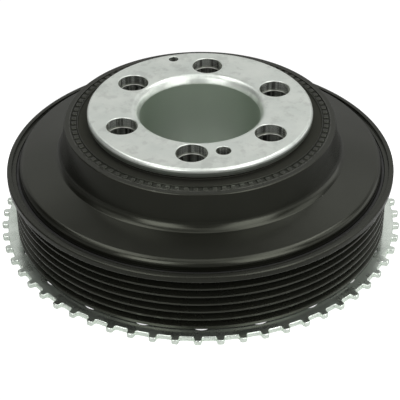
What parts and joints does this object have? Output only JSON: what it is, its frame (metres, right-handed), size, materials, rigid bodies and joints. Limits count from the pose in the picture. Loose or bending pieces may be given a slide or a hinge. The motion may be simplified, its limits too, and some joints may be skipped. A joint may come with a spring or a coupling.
{
  "type": "harmonic balancer",
  "caption": "Stepped black crankshaft damper pulley with ribbed belt ring, plated bolt-on hub with wide centre bore, and toothed trigger wheel at the rear.",
  "frame": {"origin": "on the crankshaft axis, at the underside of the trigger wheel", "axes": "+Z along the crankshaft axis towards the front of the engine, +X to the right when the front bolt hole is near -Y"},
  "size_m": [0.164, 0.1635, 0.0528],
  "materials": {
    "zinc_plate": "satin zinc plating, faintly mottled",
    "rear_zinc": "satin zinc plating",
    "wheel_zinc": "bright zinc plating",
    "black_coat": "semi-gloss black dip coat on steel",
    "black_ring": "semi-gloss black dip coat on steel",
    "bonded_rubber": "moulded matt black rubber",
    "cast_iron": "turned grey iron",
    "phosphated_steel": "dark phosphated steel",
    "bearing_plastic": "matt filled plastic",
    "rivet_steel": "plated steel"
  },
  "bodies": {
    "root": {"hub_sleeve": "zinc_plate", "carrier": "black_coat", "rear_hub": "rear_zinc", "damper_rubber": "bonded_rubber", "inertia_ring": "cast_iron", "coupling_ring": "phosphated_steel", "coupling_rubber": "bonded_rubber", "bearing_bush": "bearing_plastic", "thrust_ring": "bearing_plastic", "belt_ring": "black_ring", "trigger_wheel": "wheel_zinc", "wheel_rivets": "rivet_steel"}
  },
  "joints": []
}
